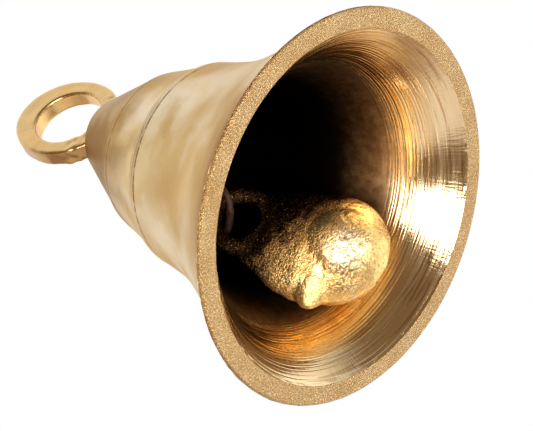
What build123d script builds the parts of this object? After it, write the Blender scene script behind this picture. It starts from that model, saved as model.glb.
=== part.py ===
from build123d import *
import os

# Sanctus bell in brass, standing upright on its lip. Millimetres.
# Origin: centre of the mouth plane. +Z runs up the bell's axis to the loop, and the loop lies flat in XZ.
# The clapper is stored leaning against the inside of the wall, as it falls when the bell is tipped over.

# ---- driving dimensions -------------------------------------------------------------------------

# shell
mouth_r = 22.0               # outer radius of the lip
lip_width = 2.56             # width of the flat lip face
lip_band_h = 1.3             # height of the short band turned just inside the mouth
lip_band_r = 18.2            # inner radius at the top of that band
waist_z = 21.2               # height of the lower ring line, where the flare ends
waist_r = 12.2
band_mid_r = 10.93           # the slightly hollow band between the two lines
band_mid_z = 24.9
shoulder_z = 28.7            # height of the upper ring line, where the cone starts
shoulder_r = 9.85
crown_z = 39.4               # top face of the crown
crown_r = 4.45               # radius where the cone would meet the top face
crown_round = 1.1
seat_z = 34.6                # flat inner end of the cavity, under the solid crown
seat_r = 4.3
seat_round = 0.9

# points (radius, height) between the lip and the waist, and on the cavity wall
flare_points = [(20.45, 1.76), (16.9, 7.48), (13.68, 14.52)]
cavity_points = [(14.45, 7.48), (11.45, 14.52), (10.0, waist_z), (7.75, 27.7)]

# turned ring lines: a bead with a groove below it at the waist, a fine groove at the shoulder
waist_groove_w = 0.35        # half width of the cut where it leaves the surface
waist_groove_d = 0.28
waist_bead_r = 0.34
waist_bead_sink = 0.37       # how far the bead's centre lies inside the waist's radius
shoulder_groove_w = 0.25
shoulder_groove_d = 0.2

# hanging loop
loop_half_w = 6.34           # outer half width, across the bell's axis
loop_half_h = 7.96           # outer half height, along the axis
loop_z = 47.75               # centre of the outer oval
hole_half_w = 4.11
hole_half_h = 4.84
hole_drop = 0.35             # the hole's centre lies this much below the outer oval's
loop_t = 2.4                 # thickness along Y
loop_round = 0.5             # rounding of the loop's edges
foot_r = 1.75                # round foot let into the crown
foot_bottom = 37.0
foot_overlap = 1.2           # height of the foot inside the loop's lowest metal

# clapper staple: a U of iron wire, its legs cast into the crown
staple_wire_r = 0.55
staple_half_w = 1.5          # centreline half width of the U
staple_bend_r = 1.0          # its two bends leave a straight stretch between them, the link's pivot
staple_x = -2.3              # middle of that stretch
staple_y = 1.0
staple_z = 30.8
staple_top = 36.2            # ends of the legs inside the crown
staple_turn = 28.6           # angle of the U's plane from XZ, about Z

# wire link between the staple and the clapper
link_wire_r = 0.45
link_half_w = 3.25           # centreline half width of the long ring
link_bend_r = 2.6            # its four bends leave a straight stretch at each end, for the pivots
link_reach = 13.6            # staple's pivot to clapper's pivot
link_play = 0.05             # clearance between the link and the staple

# clapper
eye_hole_r = 2.2
eye_limb_r = 0.95            # half width of the eye's rim
eye_half_t = 1.2             # half thickness of the eye along its hole
eye_play = 0.35              # clearance between the link and the eye
eye_turn = -36.0             # angle of the hole from the link's plane
ball_drop = 11.45            # eye centre to ball centre
ball_half = (6.6, 4.9, 6.0)  # half width, half thickness and half length of the ball
neck_top = (3.7, 1.5)        # half width and half thickness of the neck beside the eye
neck_low = (6.2, 4.5)        # and where it runs into the ball
neck_top_drop = 1.6
neck_low_drop = 9.4
nub_drop = 10.5              # the stump of the sprue on the ball's side: how far below the eye,
nub_turn = 186.0             # its direction about the clapper, from the ball's widest line,
nub_reach = 7.5              # how far out it ends,
nub_root_r = 2.3             # its radius where it leaves the ball
nub_tip_r = 0.9              # and at its end
nub_length = 3.6

# how far the two free pieces lean from hanging straight
link_lean = 12.0
clapper_lean = 25.5

# ---- shell --------------------------------------------------------------------------------------


def ring_cut(radius, height, width, depth):
    """V-shaped turned line in the outer surface, with its bottom at this height."""
    low = (radius + depth, height - width)
    bottom = (radius - depth, height)
    high = (radius + depth, height + width)
    points = [low, bottom, high]
    face = make_face(Plane.XZ * Polyline(*points, close=True))
    return revolve(face, Axis.Z)


def make_shell_blank():
    lip_inner_r = mouth_r - lip_width
    bottom = Line((lip_inner_r, 0), (mouth_r, 0))
    flare = Spline((mouth_r, 0), *flare_points, (waist_r, waist_z))
    band = ThreePointArc((waist_r, waist_z), (band_mid_r, band_mid_z), (shoulder_r, shoulder_z))
    cone = Line((shoulder_r, shoulder_z), (crown_r, crown_z))
    top = Line((crown_r, crown_z), (0, crown_z))
    axis = Line((0, crown_z), (0, seat_z))
    seat = Line((0, seat_z), (seat_r, seat_z))
    cavity_top = Line((seat_r, seat_z), cavity_points[-1])
    cavity = Spline(*reversed(cavity_points), (lip_band_r, lip_band_h))
    lip_band = Line((lip_band_r, lip_band_h), (lip_inner_r, 0))
    outline = Curve() + [bottom, flare, band, cone, top, axis, seat, cavity_top, cavity, lip_band]
    return revolve(make_face(Plane.XZ * outline), Axis.Z)


def edge_at(solid, radius, height):
    """The circular edge of this radius at this height."""
    circles = solid.edges().filter_by(GeomType.CIRCLE)
    return min(circles, key=lambda e: abs(e.radius - radius) + abs(e.center().Z - height))


def make_shell(foot_shape, staple_shape):
    shell = make_shell_blank()
    shell = fillet(edge_at(shell, crown_r, crown_z), crown_round)
    shell = fillet(edge_at(shell, seat_r, seat_z), seat_round)
    bead_z = waist_z + waist_bead_r + waist_groove_w
    shell += Pos(0, 0, bead_z) * Torus(waist_r - waist_bead_sink, waist_bead_r)
    shell -= ring_cut(waist_r, waist_z, waist_groove_w, waist_groove_d)
    shell -= ring_cut(shoulder_r, shoulder_z, shoulder_groove_w, shoulder_groove_d)
    return shell - foot_shape - staple_shape


# ---- hanging loop -------------------------------------------------------------------------------


def make_foot():
    height = loop_z - loop_half_h + foot_overlap - foot_bottom
    return Pos(0, 0, foot_bottom + height / 2) * Cylinder(foot_r, height)


def make_loop():
    hole_z = loop_z - hole_drop
    outer = Plane.XZ * Pos(0, loop_z) * Ellipse(loop_half_w, loop_half_h)
    hole = Plane.XZ * Pos(0, hole_z) * Ellipse(hole_half_w, hole_half_h)
    ring = extrude(outer - hole, loop_t / 2, both=True)
    ring = fillet(ring.edges(), loop_round)
    return ring + make_foot()


# ---- clapper suspension -------------------------------------------------------------------------


def staple_place():
    return Pos(staple_x, staple_y, staple_z) * Rot(Z=staple_turn)


def link_place():
    return staple_place() * Rot(X=link_lean)


def clapper_place():
    return link_place() * Pos(0, 0, -link_reach) * Rot(Y=-clapper_lean)


def make_staple():
    leg_top = staple_top - staple_z
    right_leg = [(staple_half_w, leg_top), (staple_half_w, 0)]
    left_leg = [(-staple_half_w, 0), (-staple_half_w, leg_top)]
    path = Plane.XZ * FilletPolyline(*right_leg, *left_leg, radius=staple_bend_r)
    section = Plane((staple_half_w, 0, leg_top), z_dir=(0, 0, 1)) * Circle(staple_wire_r)
    return staple_place() * sweep(section, path=path)


def make_link():
    crest = staple_wire_r + link_wire_r + link_play
    upper = [(link_half_w, crest), (-link_half_w, crest)]
    lower = [(-link_half_w, -link_reach), (link_half_w, -link_reach)]
    path = Plane.YZ * FilletPolyline(*upper, *lower, radius=link_bend_r, close=True)
    start = path @ 0
    section = Plane(start, z_dir=path % 0) * Circle(link_wire_r)
    return link_place() * sweep(section, path=path)


def make_clapper():
    eye_z = -(eye_hole_r - link_wire_r - eye_play)
    eye = Torus(eye_hole_r + eye_limb_r, eye_limb_r)
    eye = scale(eye, by=(1, 1, eye_half_t / eye_limb_r))
    eye = Rot(X=90) * eye
    neck_faces = []
    for drop, (half_w, half_t) in ((neck_top_drop, neck_top), (neck_low_drop, neck_low)):
        neck_faces.append(Plane.XY.offset(-drop) * Ellipse(half_w, half_t))
    neck = loft(neck_faces)
    ball = Pos(0, 0, -ball_drop) * scale(Sphere(1), by=ball_half)
    nub_place = Rot(Z=nub_turn) * Pos(nub_reach - nub_length / 2, 0, -nub_drop) * Rot(Y=90)
    nub = nub_place * Cone(nub_root_r, nub_tip_r, nub_length)
    hole = Rot(X=90) * Cylinder(eye_hole_r, 8 * eye_half_t)
    casting = eye + (neck + ball + nub - hole)
    return clapper_place() * Rot(Z=eye_turn) * Pos(0, 0, eye_z) * casting


# ---- build --------------------------------------------------------------------------------------

hanging_loop = make_loop()
clapper_staple = make_staple()
bell_shell = make_shell(make_foot(), clapper_staple)
clapper_link = make_link()
clapper = make_clapper()

pieces = {
    "bell_shell": bell_shell,
    "hanging_loop": hanging_loop,
    "clapper_staple": clapper_staple,
    "clapper_link": clapper_link,
    "clapper": clapper,
}

os.makedirs("parts", exist_ok=True)
for name, shape in pieces.items():
    export_step(shape, f"parts/{name}.step")
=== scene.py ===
import math

import bmesh
import bpy
import numpy as np
from mathutils import Matrix, Vector, noise


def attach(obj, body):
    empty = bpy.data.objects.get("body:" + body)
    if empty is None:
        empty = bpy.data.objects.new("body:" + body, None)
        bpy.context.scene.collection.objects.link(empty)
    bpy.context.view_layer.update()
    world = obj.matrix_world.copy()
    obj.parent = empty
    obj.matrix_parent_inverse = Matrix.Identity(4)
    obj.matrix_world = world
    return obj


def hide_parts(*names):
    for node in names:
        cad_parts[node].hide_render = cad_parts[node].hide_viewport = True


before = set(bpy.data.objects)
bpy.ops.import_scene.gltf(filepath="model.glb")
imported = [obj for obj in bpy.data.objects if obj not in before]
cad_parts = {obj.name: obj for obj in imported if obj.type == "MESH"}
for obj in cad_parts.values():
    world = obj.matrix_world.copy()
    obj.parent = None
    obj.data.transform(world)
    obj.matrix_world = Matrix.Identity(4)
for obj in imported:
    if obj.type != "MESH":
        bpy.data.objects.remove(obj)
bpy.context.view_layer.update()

# A small brass sanctus bell: turned shell, cast hanging loop, wire link and rough cast clapper.
# Shapes are worked out in millimetres in the part's frame and scaled to metres as meshes are made.

MM = 0.001
TURN = 2 * math.pi

# ---- shell profile, millimetres --------------------------------------------------------------

MOUTH_R = 22.0
LIP_WIDTH = 2.56
LIP_BAND = (18.2, 1.3)
LIP_OUTER_ROUND = 0.30
LIP_INNER_ROUND = 0.12
WAIST = (12.2, 21.2)
FLARE = [(MOUTH_R, 0.0), (20.45, 1.76), (16.9, 7.48), (13.68, 14.52), WAIST]
BAND_MID = (10.93, 24.9)
SHOULDER = (9.85, 28.7)
CROWN = (4.45, 39.4)
CROWN_ROUND = 1.1
SEAT = (4.3, 34.6)
SEAT_ROUND = 0.9
CAVITY = [LIP_BAND, (14.45, 7.48), (11.45, 14.52), (10.0, 21.2), (7.75, 27.7)]
FOOT_R = 1.75
FOOT_Z = 37.0
SOCKET_CHAMFER = 0.12
SHELL_SIDES = 360
OUTER_STEP = 0.12           # distance between rings of points outside, and in the parts nobody sees
PLAIN_STEP = 0.6
RING_STEP = 0.034           # and on the turned inside, close enough to cut the tool's lines
MACHINED_TOP = 7.2          # height where the turned inside gives way to the as-cast skin
TOOL_SEED = 7
TOOL_GAP = (0.22, 0.62)     # spacing, width and depth of the lines that the turning tool left
TOOL_WIDTH = (0.045, 0.085)
TOOL_DEPTH = (0.006, 0.020)

# ---- loop -------------------------------------------------------------------------------------

LOOP_OUTER = (6.34, 7.96)
LOOP_Z = 47.75
LOOP_HOLE = (4.11, 4.84)
LOOP_DROP = 0.35
LOOP_T = 2.4
LOOP_ROUND = 0.42
LOOP_FLATTEN = 0.988        # leaves room for the lumps inside the loop's thickness
LOOP_SINK = 0.09
LOOP_LUMPS = ((0.35, 0.09), (1.0, 0.022), (3.1, 0.004))
LOOP_STEPS = 220
LOOP_CORNER_STEPS = 7
LOOP_FLAT_STEPS = 5
FOOT_SIDES = 72
# (radius, height) down to up: the foot in its socket, then the brazing metal spread around it
FOOT_ROWS = (
    (FOOT_R - 0.05, FOOT_Z + 0.1), (FOOT_R - 0.05, 39.35), (2.75, 39.42), (2.45, 39.52),
    (2.15, 39.72), (1.98, 40.0), (1.9, 40.3), (1.85, 40.7),
)

# ---- clapper ----------------------------------------------------------------------------------

STAPLE_POINT = (-2.3, 1.0, 30.8)
STAPLE_TURN = 28.6
LINK_LEAN = 12.0
LINK_REACH = 13.6
CLAPPER_LEAN = 25.5
EYE_TURN = -36.0
EYE_Z = -1.4
EYE_R = 2.2
EYE_LIMB = 1.10
EYE_HALF_T = 1.15
BALL_DROP = 11.45
BALL_RADII = (6.5, 4.4, 5.9)
DOME_RADII = (4.7, 4.7, 3.8)
DOME_AT = (-0.5, -0.85, -BALL_DROP - 0.9)
DOME_WAY = (-0.37, -0.89, -0.27)    # the dome's short axis
FILLER_AT = (-2.2, -1.0, -9.2)      # fills the hollow between the ball, the neck and the nub
FILLER_RADII = (2.9, 2.3, 3.0)
# (centre x, centre y, z, half width, half thickness, power of the outline)
NECK_RINGS = (
    (-0.2, 0.1, -1.2, 4.35, 1.2, 0.8),
    (-0.35, 0.1, -2.6, 4.9, 1.5, 0.85),
    (-0.45, 0.1, -4.2, 5.5, 2.1, 0.9),
    (-0.7, 0.1, -6.2, 6.15, 2.9, 0.95),
    (-0.75, 0.2, -8.4, 6.6, 3.7, 1.0),
    (-0.35, 0.4, -11.0, 6.65, 4.3, 1.0),
)
NUB_TURN = 184.0
NUB_DIP = -0.10
NUB_Z = -9.9
# (reach, half width, half height) of the sprue's stump
NUB_TAPER = (
    (3.0, 2.8, 3.6), (5.4, 2.3, 3.0), (6.6, 1.6, 2.1),
    (7.4, 1.1, 1.4), (8.0, 0.65, 0.85), (8.2, 0.3, 0.4),
)
CLAPPER_VOXEL = 0.13
CLAPPER_SOFTEN = 15
LUMP_DEPTH, LUMP_SIZE = 0.08, 2.6
GRIT_DEPTH, GRIT_SIZE = 0.045, 0.60
SEAM_DEPTH, SEAM_WIDTH, SEAM_Y = 0.07, 0.22, 0.2
WORN_HIGHLIGHT_SPOT = (-1.6, -4.4, -13.2)     # where the clapper is polished and paled as a painted highlight; the next two place a painted dark reflection and a tan flank
DARK_REFLECTION_SPOT = (-4.3, -2.3, -13.5)
FLANK_SPOT = (-3.6, 0.6, -16.0)

# ---- camera -----------------------------------------------------------------------------------

CAM_AZIMUTH = -31.7
CAM_ELEVATION = -42.617
CAM_ROLL = -71.768
CAM_POINT = (-76.66, -117.83, -118.03)
CAM_LENS = 117.08

# ---- lights -----------------------------------------------------------------------------------

LIGHT_DISTANCE = 0.35       # metres from the mouth
# the room's tones from behind the bell to behind the camera, and those of the low band below the camera
ROOM_TONES = [
    (0.0, (1.0, 1.0, 1.0)),
    (0.36, (0.92, 0.92, 0.92)),
    (0.51, (0.42, 0.41, 0.40)),
    (0.62, (0.21, 0.15, 0.10)),
    (1.0, (0.20, 0.135, 0.085)),
]
BENCH_TONES = [
    (0.0, (0.36, 0.24, 0.15)),
    (0.30, (0.38, 0.26, 0.17)),
    (0.42, (0.55, 0.43, 0.34)),
    (0.58, (0.88, 0.84, 0.84)),
    (0.75, (0.92, 0.90, 0.94)),
    (0.80, (0.62, 0.54, 0.50)),
    (0.84, (0.20, 0.12, 0.08)),
    (1.0, (0.12, 0.07, 0.045)),
]
FLOOR_HALF = 1500.0
FLOOR_Z = -0.05


def camera_axes():
    """The camera's right, up and backward directions in the part's frame."""
    az, el, roll = (math.radians(a) for a in (CAM_AZIMUTH, CAM_ELEVATION, CAM_ROLL))
    back = Vector((math.sin(az) * math.cos(el), -math.cos(az) * math.cos(el), math.sin(el)))
    flat = Vector((math.cos(az), math.sin(az), 0.0))
    rise = back.cross(flat)
    right = flat * math.cos(roll) + rise * math.sin(roll)
    up = back.cross(right)
    return right, up, back


RIGHT, UP, BACK = camera_axes()


# ---- node helper ------------------------------------------------------------------------------


class Tree:
    """Short names for the nodes that the materials use. Lengths in the textures are millimetres."""

    def __init__(self, name, world=False):
        if world:
            self.owner = bpy.data.worlds.new(name)
        else:
            self.owner = bpy.data.materials.new(name)
        self.owner.use_nodes = True
        self.nodes = self.owner.node_tree.nodes
        self.links = self.owner.node_tree.links
        self.nodes.clear()

    def add(self, kind, **values):
        node = self.nodes.new(kind)
        for key, value in values.items():
            setattr(node, key, value)
        return node

    def feed(self, socket, value):
        if isinstance(value, bpy.types.NodeSocket):
            self.links.new(value, socket)
        else:
            socket.default_value = value

    def math(self, op, a, b=0.0):
        node = self.add("ShaderNodeMath", operation=op)
        self.feed(node.inputs[0], a)
        self.feed(node.inputs[1], b)
        return node.outputs[0]

    def vmath(self, op, a, b=(0.0, 0.0, 0.0)):
        node = self.add("ShaderNodeVectorMath", operation=op)
        self.feed(node.inputs[0], a)
        self.feed(node.inputs[1], b)
        return node.outputs["Value"] if op in ("DOT_PRODUCT", "LENGTH") else node.outputs[0]

    def place(self):
        """Object coordinates in millimetres."""
        coords = self.add("ShaderNodeTexCoord")
        node = self.add("ShaderNodeVectorMath", operation="SCALE")
        self.feed(node.inputs[0], coords.outputs["Object"])
        node.inputs["Scale"].default_value = 1000.0
        return node.outputs[0]

    def noise(self, at, size, detail=3.0, rough=0.5):
        """Noise whose features are about this many millimetres across."""
        node = self.add("ShaderNodeTexNoise")
        self.feed(node.inputs["Vector"], at)
        node.inputs["Scale"].default_value = 1.0 / size
        node.inputs["Detail"].default_value = detail
        node.inputs["Roughness"].default_value = rough
        return node.outputs["Fac"]

    def cells(self, at, size):
        node = self.add("ShaderNodeTexVoronoi")
        self.feed(node.inputs["Vector"], at)
        node.inputs["Scale"].default_value = 1.0 / size
        return node.outputs["Distance"]

    def ramp(self, fac, stops):
        node = self.add("ShaderNodeValToRGB")
        elements = node.color_ramp.elements
        while len(elements) < len(stops):
            elements.new(0.5)
        for element, (at, colour) in zip(elements, stops):
            element.position = at
            element.color = (*colour, 1.0)
        self.feed(node.inputs["Fac"], fac)
        return node.outputs["Color"]

    def level(self, fac, low, high, to_low=0.0, to_high=1.0):
        """Maps low..high onto to_low..to_high, held at the ends."""
        node = self.add("ShaderNodeMapRange", interpolation_type="SMOOTHSTEP")
        self.feed(node.inputs["Value"], fac)
        node.inputs["From Min"].default_value = low
        node.inputs["From Max"].default_value = high
        node.inputs["To Min"].default_value = to_low
        node.inputs["To Max"].default_value = to_high
        return node.outputs[0]

    def mix(self, fac, a, b, blend="MIX"):
        node = self.add("ShaderNodeMix", data_type="RGBA", blend_type=blend)
        self.feed(node.inputs["Factor"], fac)
        self.feed(node.inputs["A"], a if isinstance(a, bpy.types.NodeSocket) else (*a, 1.0))
        self.feed(node.inputs["B"], b if isinstance(b, bpy.types.NodeSocket) else (*b, 1.0))
        return node.outputs["Result"]

    def bump(self, height, depth, below=None):
        """Depth in millimetres for a height that runs from 0 to 1."""
        node = self.add("ShaderNodeBump")
        node.inputs["Strength"].default_value = 1.0
        node.inputs["Distance"].default_value = depth * MM
        self.feed(node.inputs["Height"], height)
        if below is not None:
            self.feed(node.inputs["Normal"], below)
        return node.outputs["Normal"]

    def finish(self, colour, rough, normal=None, metallic=1.0, anisotropic=0.0, edge=(1.0, 1.0, 1.0)):
        shader = self.add("ShaderNodeBsdfPrincipled")
        self.feed(shader.inputs["Base Color"], colour)
        self.feed(shader.inputs["Roughness"], rough)
        self.feed(shader.inputs["Metallic"], metallic)
        shader.inputs["Specular Tint"].default_value = (*edge, 1.0)
        if normal is not None:
            self.feed(shader.inputs["Normal"], normal)
        if anisotropic:
            shader.inputs["Anisotropic"].default_value = anisotropic
            tangent = self.add("ShaderNodeTangent", direction_type="RADIAL", axis="Z")
            self.feed(shader.inputs["Tangent"], tangent.outputs[0])
        out = self.add("ShaderNodeOutputMaterial")
        self.links.new(shader.outputs[0], out.inputs["Surface"])
        return self.owner


def height_of(tree, at):
    node = tree.add("ShaderNodeSeparateXYZ")
    tree.feed(node.inputs[0], at)
    return node.outputs["Z"]


def distance_to(tree, at, spot, stretch=(1.0, 1.0, 1.0)):
    """How far the surface is from a spot on the clapper, given in the clapper's own frame."""
    away = tree.vmath("SUBTRACT", at, tuple(clapper_place() @ Vector(spot)))
    return tree.vmath("LENGTH", tree.vmath("MULTIPLY", away, stretch))


def ring_place(tree, at, squeeze):
    """Radius, height and a little of the angle, so noise on it runs in rings around the axis."""
    node = tree.add("ShaderNodeSeparateXYZ")
    tree.feed(node.inputs[0], at)
    squares = tree.math("ADD", tree.math("MULTIPLY", node.outputs["X"], node.outputs["X"]),
                        tree.math("MULTIPLY", node.outputs["Y"], node.outputs["Y"]))
    radius = tree.math("SQRT", squares)
    joined = tree.add("ShaderNodeCombineXYZ")
    tree.feed(joined.inputs["X"], tree.math("MULTIPLY", node.outputs["X"], squeeze))
    tree.feed(joined.inputs["Y"], tree.math("MULTIPLY", node.outputs["Y"], squeeze))
    tree.feed(joined.inputs["Z"], tree.math("ADD", node.outputs["Z"], tree.math("MULTIPLY", radius, 0.7)))
    return joined.outputs[0]


# ---- materials --------------------------------------------------------------------------------


def outer_brass():
    tree = Tree("shell_outer_brass")
    at = tree.place()
    rings = ring_place(tree, at, 0.035)
    height = height_of(tree, at)
    clouds = tree.noise(at, 11.0, 1.5, 0.45)
    stains = tree.noise(at, 4.5, 3.0, 0.5)
    fine = tree.noise(at, 0.30, 2.0, 0.6)
    lines = tree.noise(rings, 0.16, 2.0, 0.7)
    tones = [(0.34, (0.57, 0.355, 0.14)), (0.5, (0.70, 0.48, 0.215)), (0.64, (0.87, 0.67, 0.38))]
    colour = tree.ramp(clouds, tones)
    colour = tree.mix(tree.level(stains, 0.50, 0.74, 0.0, 0.45), colour, (0.48, 0.28, 0.10))
    colour = tree.mix(tree.level(fine, 0.3, 0.7, 0.0, 0.14), colour, (0.86, 0.66, 0.33))
    # which side of the bell a point faces; it places the painted sheen below and the crown's painted shade
    spoke = tree.vmath("NORMALIZE", tree.vmath("MULTIPLY", at, (1.0, 1.0, 0.0)))
    side = tree.vmath("DOT_PRODUCT", spoke, (-0.716, 0.698, 0.0))
    side = tree.math("ADD", side, tree.level(stains, 0.2, 0.8, -0.25, 0.25))
    # painted sheen: pale broad reflections down two sides of the outside
    for middle, wide in ((-0.62, 0.44), (0.44, 0.46)):
        away = tree.math("ABSOLUTE", tree.math("SUBTRACT", side, middle))
        painted_sheen = tree.math("MULTIPLY", tree.level(away, wide, 0.0), tree.level(clouds, 0.34, 0.56))
        colour = tree.mix(tree.math("MULTIPLY", painted_sheen, 0.70), colour, (0.96, 0.85, 0.69))
    lip_shade = tree.math("MULTIPLY", tree.level(height, 3.8, 1.4), tree.level(height, 0.3, 1.1))
    colour = tree.mix(tree.math("MULTIPLY", lip_shade, 0.62), colour, (0.36, 0.215, 0.10))
    crown_shade = tree.level(tree.math("ADD", height, tree.level(stains, 0.2, 0.8, -3.0, 3.0)), 22.5, 32.5)
    crown_shade = tree.math("MULTIPLY", crown_shade, tree.level(side, -0.9, 0.1, 0.45, 1.0))
    colour = tree.mix(tree.math("MULTIPLY", crown_shade, 0.95), colour, (0.31, 0.165, 0.06))
    flecks = tree.level(tree.noise(at, 0.8, 3.0, 0.6), 0.36, 0.54, 0.35, 1.0)
    # broken dark brown lines along the two cuts and just above the bead
    for line_z, half in ((WAIST[1] - 0.04, 0.26), (WAIST[1] + 1.0, 0.18), (SHOULDER[1], 0.17)):
        away = tree.math("ABSOLUTE", tree.math("SUBTRACT", height, line_z))
        dark_line = tree.math("MULTIPLY", tree.level(away, half, half * 0.2), flecks)
        colour = tree.mix(tree.math("MULTIPLY", dark_line, 0.9), colour, (0.25, 0.11, 0.03))
    # painted highlight: a paler line along the crest of the bead
    away = tree.math("ABSOLUTE", tree.math("SUBTRACT", height, WAIST[1] + 0.6))
    colour = tree.mix(tree.level(away, 0.34, 0.1, 0.0, 0.5), colour, (0.92, 0.72, 0.40))
    rough = tree.level(clouds, 0.3, 0.7, 0.33, 0.42)
    rough = tree.math("ADD", rough, tree.level(lines, 0.3, 0.7, -0.04, 0.05))
    normal = tree.bump(lines, 0.010)
    normal = tree.bump(fine, 0.008, normal)
    return tree.finish(colour, rough, normal, anisotropic=0.35, edge=(0.84, 0.74, 0.60))


def lip_brass():
    tree = Tree("shell_lip_brass")
    at = tree.place()
    grain = tree.noise(at, 0.20, 3.0, 0.7)
    pits = tree.cells(at, 0.42)
    clouds = tree.noise(at, 3.0, 2.0, 0.5)
    colour = tree.ramp(clouds, [(0.3, (0.69, 0.44, 0.18)), (0.7, (0.82, 0.58, 0.28))])
    colour = tree.mix(tree.level(grain, 0.36, 0.60, 0.80, 0.0), colour, (0.38, 0.19, 0.055))
    colour = tree.mix(tree.level(pits, 0.0, 0.15, 0.7, 0.0), colour, (0.24, 0.12, 0.04))
    flat_at = tree.vmath("MULTIPLY", at, (1.0, 1.0, 0.0))
    radius = tree.vmath("LENGTH", flat_at)
    ragged = tree.math("ADD", radius, tree.level(clouds, 0.3, 0.7, -0.10, 0.10))
    rim = tree.level(ragged, MOUTH_R - 0.30, MOUTH_R - 0.08)
    colour = tree.mix(tree.math("MULTIPLY", rim, 0.25), colour, (0.30, 0.16, 0.06))
    # painted glints: bright pale dots on the grainy lip
    painted_glints = tree.level(tree.noise(at, 0.24, 2.0, 0.7), 0.60, 0.68)
    colour = tree.mix(tree.math("MULTIPLY", painted_glints, 0.5), colour, (1.0, 0.84, 0.54))
    rough = tree.level(grain, 0.3, 0.7, 0.44, 0.15)
    normal = tree.bump(grain, 0.18)
    normal = tree.bump(tree.level(pits, 0.0, 0.2), 0.04, normal)
    return tree.finish(colour, rough, normal)


def inner_brass():
    tree = Tree("shell_inner_brass")
    at = tree.place()
    rings = ring_place(tree, at, 0.012)
    height = height_of(tree, at)
    ragged = tree.noise(at, 1.3, 3.0, 0.6)
    edge = tree.math("ADD", height, tree.level(ragged, 0.2, 0.8, -0.5, 0.5))
    cast = tree.level(edge, MACHINED_TOP - 2.4, MACHINED_TOP + 1.8)
    # nearly black deep inside: partly the as-cast skin's dark oxide, partly painted shade of the hollow
    deep = tree.level(edge, 7.4, 14.0)
    lines = tree.noise(rings, 0.11, 2.0, 0.75)
    wide_lines = tree.noise(rings, 0.45, 1.0, 0.5)
    mottle = tree.noise(at, 0.9, 4.0, 0.65)
    split = tree.add("ShaderNodeSeparateXYZ")
    tree.feed(split.inputs[0], at)
    angle = tree.math("ARCTAN2", split.outputs["Y"], split.outputs["X"])
    ticks_at = tree.add("ShaderNodeCombineXYZ")
    tree.feed(ticks_at.inputs["X"], tree.math("MULTIPLY", angle, 19.0))
    tree.feed(ticks_at.inputs["Y"], tree.math("MULTIPLY", height, 0.22))
    ticks = tree.noise(ticks_at.outputs[0], 0.34, 1.0, 0.5)
    bright = tree.mix(tree.level(wide_lines, 0.35, 0.65), (0.96, 0.74, 0.43), (0.84, 0.60, 0.32))
    bright = tree.mix(tree.level(lines, 0.46, 0.36, 0.0, 0.55), bright, (0.42, 0.22, 0.08))
    skin = tree.mix(tree.level(mottle, 0.35, 0.65), (0.17, 0.08, 0.03), (0.27, 0.145, 0.06))
    colour = tree.mix(cast, bright, skin)
    colour = tree.mix(deep, colour, (0.016, 0.009, 0.005))
    rough = tree.math("ADD", tree.level(lines, 0.3, 0.7, 0.09, 0.17), tree.math("MULTIPLY", cast, 0.30))
    machined = tree.math("SUBTRACT", 1.0, cast)
    lip_band = tree.math("MULTIPLY", tree.level(height, 2.6, 1.3), machined)
    normal = tree.bump(tree.math("MULTIPLY", lines, machined), 0.016)
    tick_depth = tree.math("ADD", tree.math("MULTIPLY", lip_band, 0.35), 0.22)
    normal = tree.bump(tree.math("MULTIPLY", ticks, tick_depth), 0.035, normal)
    normal = tree.bump(tree.math("MULTIPLY", mottle, cast), 0.02, normal)
    return tree.finish(colour, rough, normal, anisotropic=0.5)


def loop_brass():
    tree = Tree("loop_brass")
    at = tree.place()
    clouds = tree.noise(at, 3.5, 3.0, 0.55)
    fine = tree.noise(at, 0.3, 3.0, 0.6)
    height = height_of(tree, at)
    colour = tree.ramp(clouds, [(0.3, (0.86, 0.53, 0.20)), (0.7, (0.96, 0.69, 0.32))])
    colour = tree.mix(tree.level(fine, 0.35, 0.7, 0.18, 0.0), colour, (0.48, 0.25, 0.08))
    # painted shade: darker at the loop's foot where it meets the crown
    painted_joint_shade = tree.math("MULTIPLY", tree.level(height, 43.5, 39.8), tree.level(clouds, 0.4, 0.6))
    colour = tree.mix(tree.math("MULTIPLY", painted_joint_shade, 0.7), colour, (0.22, 0.11, 0.045))
    # painted shade: the loop's edges darker on its lower side
    across = tree.math("ABSOLUTE", tree.vmath("DOT_PRODUCT", at, (0.0, 1.0, 0.0)))
    low = tree.vmath("DOT_PRODUCT", tree.vmath("SUBTRACT", at, (0.0, 0.0, LOOP_Z)), (-0.697, 0.0, -0.40))
    rim = tree.math("MULTIPLY", tree.level(across, 1.10, 0.85), tree.level(low, 1.0, 3.5))
    colour = tree.mix(tree.math("MULTIPLY", rim, 0.6), colour, (0.38, 0.19, 0.065))
    rough = tree.level(clouds, 0.3, 0.7, 0.22, 0.34)
    rough = tree.math("ADD", rough, tree.level(fine, 0.3, 0.7, -0.04, 0.04))
    normal = tree.bump(tree.noise(at, 1.8, 2.0, 0.5), 0.035)
    normal = tree.bump(fine, 0.010, normal)
    return tree.finish(colour, rough, normal)


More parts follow.
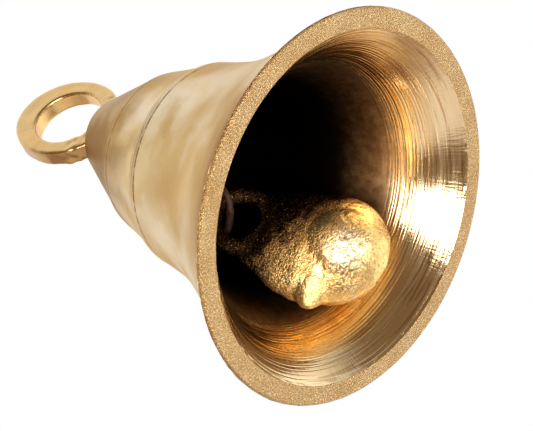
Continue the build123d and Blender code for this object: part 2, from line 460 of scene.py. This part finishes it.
def clapper_brass():
    tree = Tree("clapper_brass")
    at = tree.place()
    split = tree.add("ShaderNodeSeparateXYZ")
    tree.feed(split.inputs[0], at)
    grit = tree.noise(at, 0.26, 3.0, 0.65)
    specks = tree.noise(at, 0.15, 2.0, 0.6)
    pits = tree.cells(at, 0.62)
    clouds = tree.noise(at, 2.0, 4.0, 0.6)
    patches = tree.noise(at, 3.2, 2.0, 0.5)
    tones = [(0.32, (0.80, 0.49, 0.16)), (0.5, (0.93, 0.64, 0.25)), (0.68, (0.98, 0.75, 0.36))]
    colour = tree.ramp(clouds, tones)
    colour = tree.mix(tree.level(grit, 0.34, 0.47, 0.55, 0.0), colour, (0.22, 0.10, 0.03))
    # near-black neck and eye: partly dark oxide, partly painted shade inside the bell's mouth
    across = tree.math("MULTIPLY", tree.math("ADD", split.outputs["X"], 1.8), 0.35)
    oxide_and_shade_reach = tree.math("ADD", split.outputs["Z"], across)
    oxide_and_shade_reach = tree.math("ADD", oxide_and_shade_reach, tree.level(clouds, 0.2, 0.8, -1.6, 1.6))
    oxide_and_shade = tree.math("MULTIPLY", tree.level(oxide_and_shade_reach, 8.4, 11.0), tree.level(specks, 0.72, 0.62))
    # polished smoother, and paled as a painted highlight where the dome faces the key light
    worn_highlight = tree.level(distance_to(tree, at, WORN_HIGHLIGHT_SPOT), 3.5, 1.0)
    polish_and_highlight = tree.math("MULTIPLY", worn_highlight, tree.level(grit, 0.36, 0.52, 0.0, 0.75))
    colour = tree.mix(polish_and_highlight, colour, (1.0, 0.90, 0.70))
    # painted reflection: a dark speckled patch below the dome's highlight
    painted_dark_reflection = tree.level(distance_to(tree, at, DARK_REFLECTION_SPOT, (0.8, 1.0, 1.0)), 2.3, 1.1)
    painted_dark_reflection = tree.math("MULTIPLY", painted_dark_reflection, tree.level(grit, 0.60, 0.44))
    colour = tree.mix(tree.math("MULTIPLY", painted_dark_reflection, 0.85), colour, (0.20, 0.10, 0.035))
    # a flatter tan colour on the ball's lower flank
    tan_flank = tree.level(distance_to(tree, at, FLANK_SPOT), 4.2, 1.6, 0.0, 0.45)
    colour = tree.mix(tan_flank, colour, (0.60, 0.37, 0.14))
    # painted shade: brown over the top of the ball
    colour = tree.mix(tree.level(oxide_and_shade_reach, 6.0, 9.5, 0.0, 0.7), colour, (0.44, 0.21, 0.065))
    colour = tree.mix(tree.math("MULTIPLY", oxide_and_shade, 0.97), colour, (0.022, 0.011, 0.006))
    rough = tree.level(specks, 0.3, 0.7, 0.15, 0.28)
    rough = tree.math("SUBTRACT", rough, tree.math("MULTIPLY", worn_highlight, 0.06))
    neck = tree.level(split.outputs["Z"], 5.0, 8.0, 0.0, 0.9)
    rougher = tree.math("ADD", tree.level(patches, 0.38, 0.58, 0.45, 1.0), neck)
    normal = tree.bump(tree.math("MULTIPLY", grit, rougher), 0.115)
    normal = tree.bump(specks, 0.02, normal)
    normal = tree.bump(tree.level(pits, 0.0, 0.25), 0.04, normal)
    return tree.finish(colour, rough, normal, metallic=tree.level(oxide_and_shade, 0.0, 1.0, 0.88, 1.0))


def wire_iron():
    tree = Tree("wire_iron")
    at = tree.place()
    scale = tree.noise(at, 0.5, 4.0, 0.65)
    fine = tree.noise(at, 0.12, 2.0, 0.6)
    tones = [(0.35, (0.020, 0.008, 0.005)), (0.52, (0.06, 0.022, 0.010)), (0.68, (0.13, 0.045, 0.018))]
    colour = tree.ramp(scale, tones)
    rough = tree.level(scale, 0.3, 0.7, 0.45, 0.7)
    normal = tree.bump(fine, 0.03)
    normal = tree.bump(scale, 0.05, normal)
    return tree.finish(colour, rough, normal, metallic=0.25)


def floor_paper():
    tree = Tree("floor_paper")
    at = tree.place()
    colour = tree.mix(tree.noise(at, 60.0, 2.0), (0.86, 0.855, 0.845), (0.90, 0.895, 0.885))
    shader = tree.add("ShaderNodeBsdfDiffuse")
    tree.feed(shader.inputs["Color"], colour)
    clear = tree.add("ShaderNodeBsdfTransparent")
    geometry = tree.add("ShaderNodeNewGeometry")
    mixed = tree.add("ShaderNodeMixShader")
    tree.feed(mixed.inputs[0], geometry.outputs["Backfacing"])
    tree.links.new(shader.outputs[0], mixed.inputs[1])
    tree.links.new(clear.outputs[0], mixed.inputs[2])
    out = tree.add("ShaderNodeOutputMaterial")
    tree.links.new(mixed.outputs[0], out.inputs["Surface"])
    return tree.owner


# ---- mesh helpers -----------------------------------------------------------------------------


def mesh_object(name, points, faces, smooth=True):
    """A mesh from points in millimetres."""
    mesh = bpy.data.meshes.new(name)
    mesh.from_pydata([tuple(p) for p in np.asarray(points) * MM], [], faces)
    mesh.validate()
    mesh.update()
    if smooth:
        mesh.shade_smooth()
    thing = bpy.data.objects.new(name, mesh)
    bpy.context.scene.collection.objects.link(thing)
    return thing


def natural_spline(points, step):
    """A smooth line through these points, as points about this far apart."""
    points = np.array(points, float)
    chords = np.r_[0.0, np.cumsum(np.hypot(*np.diff(points, axis=0).T))]
    count = len(points)
    gaps = np.diff(chords)
    system = np.zeros((count, count))
    right = np.zeros((count, 2))
    system[0, 0] = 1.0
    system[-1, -1] = 1.0
    for i in range(1, count - 1):
        system[i, i - 1] = gaps[i - 1]
        system[i, i] = 2 * (gaps[i - 1] + gaps[i])
        system[i, i + 1] = gaps[i]
        slopes = (points[i + 1] - points[i]) / gaps[i] - (points[i] - points[i - 1]) / gaps[i - 1]
        right[i] = 6 * slopes
    bend = np.linalg.solve(system, right)
    along = np.linspace(0, chords[-1], int(chords[-1] / step) + 1)
    cell = np.clip(np.searchsorted(chords, along, side="right") - 1, 0, count - 2)
    gap = gaps[cell][:, None]
    ahead = (chords[cell + 1] - along)[:, None]
    behind = (along - chords[cell])[:, None]
    line = bend[cell] * ahead**3 / (6 * gap) + bend[cell + 1] * behind**3 / (6 * gap)
    line += (points[cell] / gap - bend[cell] * gap / 6) * ahead
    line += (points[cell + 1] / gap - bend[cell + 1] * gap / 6) * behind
    return line


def straight(a, b, step):
    count = max(1, int(math.dist(a, b) / step))
    return np.linspace(a, b, count + 1)


def corner(before, at, after, radius, count=6):
    """An arc that rounds the corner at this point."""
    before, at, after = (np.array(p, float) for p in (before, at, after))
    a = (before - at) / np.linalg.norm(before - at)
    b = (after - at) / np.linalg.norm(after - at)
    half = math.acos(np.clip(a @ b, -1, 1)) / 2
    reach = radius / math.tan(half)
    middle = at + (a + b) / np.linalg.norm(a + b) * radius / math.sin(half)
    start = at + a * reach - middle
    end = at + b * reach - middle
    line = []
    for t in np.linspace(0, 1, count):
        spoke = start * (1 - t) + end * t
        line.append(middle + spoke / np.linalg.norm(spoke) * radius)
    return np.array(line)


def ring_noise(angles, heights, size, seed):
    """Smooth noise around the axis, one value per angle and height, that closes on itself."""
    out = np.empty((len(heights), len(angles)))
    for i, height in enumerate(heights):
        for j, angle in enumerate(angles):
            spot = Vector((math.cos(angle) * size[0], math.sin(angle) * size[0], height * size[1] + seed))
            out[i, j] = noise.noise(spot)
    return out


# ---- shell ------------------------------------------------------------------------------------

OUTER, LIP, INNER = 0, 1, 2


def arc_through(a, b, c, step):
    """Points on the circle through three points."""
    (ax, ay), (bx, by), (cx, cy) = a, b, c
    d = 2 * (ax * (by - cy) + bx * (cy - ay) + cx * (ay - by))
    ux = ((ax**2 + ay**2) * (by - cy) + (bx**2 + by**2) * (cy - ay) + (cx**2 + cy**2) * (ay - by)) / d
    uy = ((ax**2 + ay**2) * (cx - bx) + (bx**2 + by**2) * (ax - cx) + (cx**2 + cy**2) * (bx - ax)) / d
    radius = math.hypot(ax - ux, ay - uy)
    start = math.atan2(ay - uy, ax - ux)
    turn = (math.atan2(cy - uy, cx - ux) - start + math.pi) % TURN - math.pi
    count = int(abs(turn) * radius / step) + 1
    return np.array([(ux + radius * math.cos(t), uy + radius * math.sin(t))
                     for t in np.linspace(start, start + turn, count + 1)])


def shell_profile():
    """(radius, height) from the socket's bottom, down the outside, across the lip and up the inside."""
    socket_top = (FOOT_R, CROWN[1] - SOCKET_CHAMFER)
    outside = [straight((0.0, FOOT_Z), (FOOT_R, FOOT_Z), PLAIN_STEP)]
    outside.append(straight((FOOT_R, FOOT_Z), socket_top, PLAIN_STEP))
    outside.append(straight((FOOT_R + SOCKET_CHAMFER, CROWN[1]), (CROWN[0] - 1.0, CROWN[1]), 0.3))
    outside.append(corner((0.0, CROWN[1]), CROWN, SHOULDER, CROWN_ROUND, 10))
    cone_start = tuple(outside[-1][-1])
    outside.append(straight(cone_start, SHOULDER, OUTER_STEP)[1:])
    outside.append(arc_through(SHOULDER, BAND_MID, WAIST, OUTER_STEP)[1:])
    flare = natural_spline(FLARE, OUTER_STEP)[::-1]
    outside.append(flare[1:-4])         # the last points make room for the lip's rounded edge
    outer_edge = corner(FLARE[1], (MOUTH_R, 0.0), (0.0, 0.0), LIP_OUTER_ROUND, 7)
    lip_inner = (MOUTH_R - LIP_WIDTH, 0.0)
    inner_edge = corner((MOUTH_R, 0.0), lip_inner, LIP_BAND, LIP_INNER_ROUND, 4)
    flat = straight(tuple(outer_edge[-1]), tuple(inner_edge[0]), OUTER_STEP)[1:-1]
    lip = [outer_edge, flat, inner_edge]
    wall = natural_spline([tuple(inner_edge[-1])] + CAVITY, RING_STEP)[1:]
    coarse = np.nonzero(wall[:, 1] > MACHINED_TOP + 0.8)[0]
    inside = [np.concatenate([wall[:coarse[0]], wall[coarse[::4]], wall[-1:]])]
    seat_round = corner(CAVITY[-1], SEAT, (0.0, SEAT[1]), SEAT_ROUND, 8)
    inside.append(straight(CAVITY[-1], tuple(seat_round[0]), 0.3)[1:-1])
    inside.append(seat_round)
    inside.append(straight(tuple(seat_round[-1]), (0.0, SEAT[1]), PLAIN_STEP)[1:])
    outside, lip, inside = (np.concatenate(part) for part in (outside, lip, inside))
    zone = [OUTER] * len(outside) + [LIP] * len(lip) + [INNER] * len(inside)
    return np.concatenate([outside, lip, inside]), np.array(zone)


def groove(z, centre, half, depth):
    """Depth of a rounded V-shaped line cut at this height."""
    return depth * np.clip(1 - np.abs(z - centre) / half, 0, 1) ** 0.8


def tool_lines(along):
    """Depth of the lines that the turning tool left, for each distance along the profile."""
    rng = np.random.default_rng(TOOL_SEED)
    lines = np.zeros(len(along))
    at = 0.0
    while at < along[-1]:
        at += rng.uniform(*TOOL_GAP)
        width = rng.uniform(*TOOL_WIDTH)
        depth = rng.uniform(*TOOL_DEPTH)
        lines -= depth * np.exp(-(((along - at) / width) ** 2))
    return lines


def hump(values, centre, width):
    return np.exp(-(((values - centre) / width) ** 2))


def shell_offset(profile, zone, angles):
    """How far the skin stands out from the plain profile, for each point of it and each angle."""
    radius, z = profile[:, 0], profile[:, 1]
    along = np.r_[0.0, np.cumsum(np.hypot(*np.diff(profile, axis=0).T))]
    lines = tool_lines(along)
    inside = zone == INNER
    fade = np.clip((MACHINED_TOP + 0.6 - z) / 1.2, 0, 1) * inside
    outside = (zone == OUTER) & (z < CROWN[1] - 1.0)
    outer = outside.astype(float)
    shift = lines * fade + 0.25 * lines * outside

    # the bead and the two turned lines outside
    cut = groove(z, WAIST[1], 0.17, 0.06) + groove(z, SHOULDER[1], 0.14, 0.04)
    bead = 0.16 * hump(z, WAIST[1] + 0.60, 0.26) + 0.05 * hump(z, SHOULDER[1] + 0.40, 0.2)
    shift = shift + (bead - cut) * outer

    # waves, chipped waist, as-cast skin deep inside and small nicks along the lip's edges
    offset = np.repeat(shift[:, None], len(angles), axis=1)
    wave = ring_noise(angles, z, (1.6, 0.12), 3.1)
    offset += 0.03 * wave * (outer + 0.3 * inside)[:, None]
    chips = ring_noise(angles, z, (14.0, 0.9), 8.4)
    offset += 0.05 * chips * (hump(z, WAIST[1], 0.55) * outer)[:, None]
    cast = np.clip((z - MACHINED_TOP - 0.6) / 3.0, 0, 1) * inside
    offset += 0.03 * ring_noise(angles, z, (9.0, 0.7), 21.7) * cast[:, None]
    edge = np.zeros(len(profile))
    edge[(zone != INNER) & (z < 0.5) & (radius > MOUTH_R - 0.5)] = 1.0
    edge[inside & (z < 0.25)] = 1.0
    nicks = np.minimum(ring_noise(angles, z, (26.0, 0.0), 40.2), 0.0)
    return offset + 0.09 * nicks * edge[:, None]


def make_shell(materials):
    profile, zone = shell_profile()
    tangent = np.gradient(profile, axis=0)
    tangent /= np.linalg.norm(tangent, axis=1)[:, None] + 1e-9
    angles = np.linspace(0, TURN, SHELL_SIDES, endpoint=False)
    offset = shell_offset(profile, zone, angles)

    # outward from the metal is a quarter turn from the tangent
    radius = np.minimum(profile[:, 0:1] - tangent[:, 1:2] * offset, MOUTH_R)
    height = np.maximum(profile[:, 1:2] + tangent[:, 0:1] * offset, 0.0)
    points = []
    rows = range(1, len(profile) - 1)
    for i in rows:
        points.extend(zip(radius[i] * np.cos(angles), radius[i] * np.sin(angles), height[i]))
    poles = len(points)
    points.append((0.0, 0.0, float(profile[0, 1])))
    points.append((0.0, 0.0, float(profile[-1, 1])))
    faces = []
    zones = []
    sides = SHELL_SIDES
    for row in range(len(rows) - 1):
        for k in range(sides):
            a = row * sides + k
            b = row * sides + (k + 1) % sides
            faces.append((a, b, b + sides, a + sides))
            zones.append(zone[row + 2])
    base = (len(rows) - 1) * sides
    for k in range(sides):
        faces.append((poles, (k + 1) % sides, k))
        zones.append(OUTER)
        faces.append((poles + 1, base + k, base + (k + 1) % sides))
        zones.append(INNER)
    shell = mesh_object("bell_shell_skin", points, faces)
    for material in materials:
        shell.data.materials.append(material)
    shell.data.polygons.foreach_set("material_index", np.array(zones, dtype=np.int32))
    turn_outward(shell)
    return shell


def turn_outward(thing):
    work = bmesh.new()
    work.from_mesh(thing.data)
    bmesh.ops.recalc_face_normals(work, faces=work.faces)
    work.to_mesh(thing.data)
    work.free()


# ---- loop -------------------------------------------------------------------------------------


def loop_section():
    """Points round the loop's section: pairs of corner points and how far along from one to the other."""
    arcs = []
    for cx, cy, start in ((1, 1, 0), (0, 1, 90), (0, 0, 180), (1, 0, 270)):
        for k in range(LOOP_CORNER_STEPS):
            arcs.append((cx, cy, math.radians(start + 90 * k / (LOOP_CORNER_STEPS - 1))))
    section = []
    for k, spot in enumerate(arcs):
        section.append((spot, spot, 0.0))
        after = arcs[(k + 1) % len(arcs)]
        if (spot[0], spot[1]) != (after[0], after[1]):
            for m in range(1, LOOP_FLAT_STEPS):
                section.append((spot, after, m / LOOP_FLAT_STEPS))
    return section


def section_spot(corner_point, width):
    """Where a corner point lies: distance out from the hole's edge, and height above the middle plane."""
    cx, cy, turn = corner_point
    half_t = LOOP_T / 2
    across = (width - LOOP_ROUND if cx else LOOP_ROUND) + LOOP_ROUND * math.cos(turn)
    up = (half_t - LOOP_ROUND if cy else LOOP_ROUND - half_t) + LOOP_ROUND * math.sin(turn)
    return across, up


def lump_at(spot):
    """The casting's unevenness, strongest at the bottom of the loop where it was brazed."""
    lump = sum(noise.noise(spot * scale) * depth for scale, depth in LOOP_LUMPS)
    low = math.exp(-(((spot.z - 42.2) / 1.6) ** 2))
    return lump + noise.noise(spot * 1.1 + Vector((9, 2, 4))) * 0.22 * low


def loop_ring(points, faces):
    section = loop_section()
    for i in range(LOOP_STEPS):
        t = TURN * i / LOOP_STEPS
        outer = np.array((LOOP_OUTER[0] * math.sin(t), LOOP_OUTER[1] * math.cos(t)))
        hole = np.array((LOOP_HOLE[0] * math.sin(t), LOOP_HOLE[1] * math.cos(t) - LOOP_DROP))
        width = np.linalg.norm(outer - hole)
        outward = (outer - hole) / width
        centre = hole + outward * width / 2
        for a, b, part in section:
            first = section_spot(a, width)
            second = section_spot(b, width)
            across = first[0] * (1 - part) + second[0] * part
            y = first[1] * (1 - part) + second[1] * part
            x, drop = hole + outward * across
            z = LOOP_Z + drop
            dx, dz = x - centre[0], drop - centre[1]
            length = math.sqrt(dx * dx + y * y + dz * dz)
            push = (lump_at(Vector((x, y, z))) - LOOP_SINK) / length
            points.append((x + dx * push, y * LOOP_FLATTEN + y * push, z + dz * push))
    count = len(section)
    for i in range(LOOP_STEPS):
        here = i * count
        there = ((i + 1) % LOOP_STEPS) * count
        for k in range(count):
            n = (k + 1) % count
            faces.append((here + k, here + n, there + n, there + k))


def loop_foot(points, faces):
    base = len(points)
    sides = FOOT_SIDES
    for radius, z in FOOT_ROWS:
        for k in range(sides):
            a = TURN * k / sides
            spot = Vector((math.cos(a) * 1.5, math.sin(a) * 1.5, z * 0.9))
            wobble = 1 + 0.10 * noise.noise(spot) * (radius > FOOT_R)
            points.append((radius * wobble * math.cos(a), radius * wobble * math.sin(a) * 0.98, z))
    bottom = len(points)
    points.append((0.0, 0.0, FOOT_ROWS[0][1]))
    points.append((0.0, 0.0, FOOT_ROWS[-1][1]))
    for row in range(len(FOOT_ROWS) - 1):
        for k in range(sides):
            a = base + row * sides + k
            b = base + row * sides + (k + 1) % sides
            faces.append((a, b, b + sides, a + sides))
    last = base + (len(FOOT_ROWS) - 1) * sides
    for k in range(sides):
        faces.append((bottom, base + (k + 1) % sides, base + k))
        faces.append((bottom + 1, last + k, last + (k + 1) % sides))


def make_loop(material):
    points = []
    faces = []
    loop_ring(points, faces)
    loop_foot(points, faces)
    loop = mesh_object("hanging_loop_casting", points, faces)
    loop.data.materials.append(material)
    turn_outward(loop)
    return loop


# ---- clapper ----------------------------------------------------------------------------------


def turn_about(axis, degrees):
    return Matrix.Rotation(math.radians(degrees), 4, axis)


def clapper_place():
    """From the clapper's own frame, eye centre at 0, ball along -Z, hole along Y, to the part's, in mm."""
    place = Matrix.Translation(STAPLE_POINT) @ turn_about("Z", STAPLE_TURN)
    place = place @ turn_about("X", LINK_LEAN) @ Matrix.Translation((0, 0, -LINK_REACH))
    place = place @ turn_about("Y", -CLAPPER_LEAN) @ turn_about("Z", EYE_TURN)
    return place @ Matrix.Translation((0, 0, EYE_Z))


def blob(work, centre, radii, segments, turn=Matrix.Identity(3)):
    """A closed ellipsoid, turned and then put at this centre."""
    made = bmesh.ops.create_uvsphere(work, u_segments=segments, v_segments=segments // 2, radius=1.0)
    for vert in made["verts"]:
        spot = Vector((vert.co.x * radii[0], vert.co.y * radii[1], vert.co.z * radii[2]))
        vert.co = turn @ spot + Vector(centre)


def sweep_rings(work, rings):
    """A closed skin through rounded rings."""
    sides = 64
    rows = []
    for cx, cy, z, half_w, half_t, power in rings:
        row = []
        for k in range(sides):
            a = TURN * k / sides
            c, s = math.cos(a), math.sin(a)
            x = cx + half_w * math.copysign(abs(c) ** power, c)
            y = cy + half_t * math.copysign(abs(s) ** power, s)
            row.append(work.verts.new((x, y, z)))
        rows.append(row)
    for a, b in zip(rows, rows[1:]):
        for k in range(sides):
            n = (k + 1) % sides
            work.faces.new((a[k], a[n], b[n], b[k]))
    work.faces.new(rows[0][::-1])
    work.faces.new(rows[-1])


def ring_of(work, radius, limb, half_t):
    """The clapper's eye: a ring about Y."""
    around, section = 96, 32
    rows = []
    for i in range(around):
        a = TURN * i / around
        row = []
        for k in range(section):
            b = TURN * k / section
            out = radius + limb * math.cos(b)
            row.append(work.verts.new((out * math.cos(a), half_t * math.sin(b), out * math.sin(a))))
        rows.append(row)
    for i in range(around):
        for k in range(section):
            a, b = rows[i], rows[(i + 1) % around]
            n = (k + 1) % section
            work.faces.new((a[k], b[k], b[n], a[n]))


def fractal(spot, size, octaves, seed):
    total, weight, scale = 0.0, 1.0, 1.0 / size
    shift = Vector((seed, seed * 1.7, -seed))
    for _ in range(octaves):
        total += noise.noise(spot * scale + shift) * weight
        weight *= 0.55
        scale *= 2.1
    return total


def voxel_union(thing, voxel):
    modifier = thing.modifiers.new("union", "REMESH")
    modifier.mode = "VOXEL"
    modifier.voxel_size = voxel
    modifier.use_smooth_shade = True
    graph = bpy.context.evaluated_depsgraph_get()
    mesh = bpy.data.meshes.new_from_object(thing.evaluated_get(graph))
    thing.modifiers.clear()
    thing.data = mesh


def soften(mesh, rounds):
    work = bmesh.new()
    work.from_mesh(mesh)
    axes = {"use_axis_x": True, "use_axis_y": True, "use_axis_z": True}
    for _ in range(rounds):
        bmesh.ops.smooth_vert(work, verts=work.verts, factor=0.5, **axes)
    work.to_mesh(mesh)
    work.free()


def make_clapper(material):
    work = bmesh.new()
    ring_of(work, EYE_R + EYE_LIMB, EYE_LIMB, EYE_HALF_T)
    sweep_rings(work, NECK_RINGS)
    blob(work, (-0.1, 0.5, -BALL_DROP), BALL_RADII, 72)
    blob(work, FILLER_AT, FILLER_RADII, 48)
    turn = Vector((0.0, 0.0, 1.0)).rotation_difference(Vector(DOME_WAY)).to_matrix()
    blob(work, DOME_AT, DOME_RADII, 72, turn)
    mesh = bpy.data.meshes.new("clapper_casting")
    work.to_mesh(mesh)
    work.free()
    clapper = bpy.data.objects.new("clapper_casting", mesh)
    bpy.context.scene.collection.objects.link(clapper)
    add_nub(clapper)
    voxel_union(clapper, CLAPPER_VOXEL)
    soften(clapper.data, CLAPPER_SOFTEN)
    cut_eye(clapper)
    roughen(clapper.data)
    place = Matrix.Scale(MM, 4) @ clapper_place()
    clapper.data.transform(place)
    clapper.data.materials.clear()
    clapper.data.materials.append(material)
    clapper.data.shade_smooth()
    return clapper


def add_nub(clapper):
    work = bmesh.new()
    work.from_mesh(clapper.data)
    sides = 40
    rows = []
    turn = math.radians(NUB_TURN)
    out = Vector((math.cos(turn), math.sin(turn), NUB_DIP)).normalized()
    side = out.cross(Vector((0, 0, 1))).normalized()
    rise = side.cross(out)
    for reach, wide, tall in NUB_TAPER:
        centre = out * reach + Vector((0.0, 0.0, NUB_Z))
        row = []
        for k in range(sides):
            a = TURN * k / sides
            row.append(work.verts.new(centre + side * wide * math.cos(a) + rise * tall * math.sin(a)))
        rows.append(row)
    for a, b in zip(rows, rows[1:]):
        for k in range(sides):
            n = (k + 1) % sides
            work.faces.new((a[k], a[n], b[n], b[k]))
    work.faces.new(rows[0][::-1])
    work.faces.new(rows[-1])
    bmesh.ops.recalc_face_normals(work, faces=work.faces)
    work.to_mesh(clapper.data)
    work.free()


def cut_eye(clapper):
    """Pushes the metal that the union left inside the eye's hole back to the hole's wall."""
    for vert in clapper.data.vertices:
        p = vert.co
        out = math.hypot(p.x, p.z)
        limit = EYE_R + 0.02 + 0.35 * min(1.0, abs(p.y) / 1.6) ** 2
        if out < limit and abs(p.y) < 3.0:
            scale = limit / max(out, 0.2)
            p.x *= scale
            p.z *= scale


def roughen(mesh):
    """The lumps and sand grain of a rough casting, and the seam where its two halves met."""
    mesh.update()
    normals = [vert.normal.copy() for vert in mesh.vertices]
    for vert, normal in zip(mesh.vertices, normals):
        p = vert.co
        eye = min(1.0, max(0.0, (math.hypot(p.x, p.z) - EYE_R) / 1.2))
        lump = LUMP_DEPTH * fractal(p, LUMP_SIZE, 2, 4.0)
        grit = GRIT_DEPTH * fractal(p, GRIT_SIZE, 3, 11.0)
        ridge = math.exp(-(((p.y - SEAM_Y) / SEAM_WIDTH) ** 2))
        seam = SEAM_DEPTH * ridge * (0.6 + fractal(p, 1.4, 2, 2.0))
        push = lump + grit - 0.06
        if p.z < -4.0:
            push += seam
        if eye < 1.0:
            push *= 0.35 + 0.65 * eye
            push = max(push, -0.10) if eye > 0.05 else min(push, 0.02)
        vert.co = p + normal * push


# ---- build ------------------------------------------------------------------------------------

shell = make_shell([outer_brass(), lip_brass(), inner_brass()])
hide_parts("bell_shell")
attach(shell, "bell")

loop = make_loop(loop_brass())
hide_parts("hanging_loop")
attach(loop, "bell")

clapper = make_clapper(clapper_brass())
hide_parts("clapper")
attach(clapper, "clapper")

iron = wire_iron()
for node in ("clapper_staple", "clapper_link"):
    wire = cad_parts[node]
    for index in range(len(wire.material_slots)):
        wire.material_slots[index].material = iron


# ---- floor, light and camera ------------------------------------------------------------------


def make_floor():
    corners = [(x * FLOOR_HALF, y * FLOOR_HALF, FLOOR_Z) for x, y in ((-1, -1), (1, -1), (1, 1), (-1, 1))]
    floor = mesh_object("floor", corners, [(0, 1, 2, 3)])
    floor.data.materials.append(floor_paper())
    floor.visible_glossy = False
    floor.visible_diffuse = False
    floor.visible_shadow = False
    floor.visible_transmission = False


def make_world():
    """Bright behind and below the bell, dim and warm on the camera's side, white where the camera looks."""
    tree = Tree("studio", world=True)
    coords = tree.add("ShaderNodeTexCoord")
    way = tree.vmath("NORMALIZE", coords.outputs["Generated"])
    toward = tree.math("MULTIPLY", tree.math("ADD", tree.vmath("DOT_PRODUCT", way, tuple(BACK)), 1.0), 0.5)
    upward = tree.vmath("DOT_PRODUCT", way, tuple(UP))
    rightward = tree.vmath("DOT_PRODUCT", way, tuple(RIGHT))
    room = tree.ramp(toward, ROOM_TONES)
    bench = tree.ramp(toward, BENCH_TONES)
    room = tree.mix(tree.level(upward, -0.60, -0.80), room, bench)
    right = tree.math("MULTIPLY", tree.level(rightward, 0.62, 0.90), 0.40)
    glow = tree.add("ShaderNodeBackground")
    tree.feed(glow.inputs["Color"], tree.mix(1.0, room, right, "ADD"))
    white = tree.add("ShaderNodeBackground")
    white.inputs["Color"].default_value = (1, 1, 1, 1)
    path = tree.add("ShaderNodeLightPath")
    mixed = tree.add("ShaderNodeMixShader")
    tree.feed(mixed.inputs[0], path.outputs["Is Camera Ray"])
    tree.links.new(glow.outputs[0], mixed.inputs[1])
    tree.links.new(white.outputs[0], mixed.inputs[2])
    out = tree.add("ShaderNodeOutputWorld")
    tree.links.new(mixed.outputs[0], out.inputs["Surface"])
    bpy.context.scene.world = tree.owner


def softbox(name, across, upward, toward, size, radiance):
    """A soft white light in this direction from the mouth, said in the camera's right, up and backward."""
    away = (RIGHT * across + UP * upward + BACK * toward).normalized()
    lamp = bpy.data.lights.new(name, "AREA")
    lamp.shape = "RECTANGLE"
    lamp.size, lamp.size_y = size
    lamp.energy = radiance * math.pi * size[0] * size[1]
    holder = bpy.data.objects.new(name, lamp)
    side = (RIGHT - away * RIGHT.dot(away)).normalized()
    turn = Matrix((side, away.cross(side), away)).transposed().to_4x4()
    holder.matrix_world = Matrix.Translation(away * LIGHT_DISTANCE) @ turn
    holder.visible_camera = False
    bpy.context.scene.collection.objects.link(holder)


def make_camera():
    lens = bpy.data.cameras.new("camera")
    lens.lens = CAM_LENS
    lens.sensor_width = 36.0
    lens.clip_start = 0.01
    camera = bpy.data.objects.new("camera", lens)
    turn = Matrix((RIGHT, UP, BACK)).transposed().to_4x4()
    camera.matrix_world = Matrix.Translation(Vector(CAM_POINT) * MM) @ turn
    bpy.context.scene.collection.objects.link(camera)
    bpy.context.scene.camera = camera


make_floor()
make_world()
softbox("key_below_camera", -0.08, -0.19, 0.97, (0.28, 0.175), 8.0)
softbox("right_of_camera", 0.80, 0.0, 0.60, (0.15, 0.15), 6.0)
make_camera()
view = bpy.context.scene.view_settings
view.view_transform = "Standard"
view.look = "None"
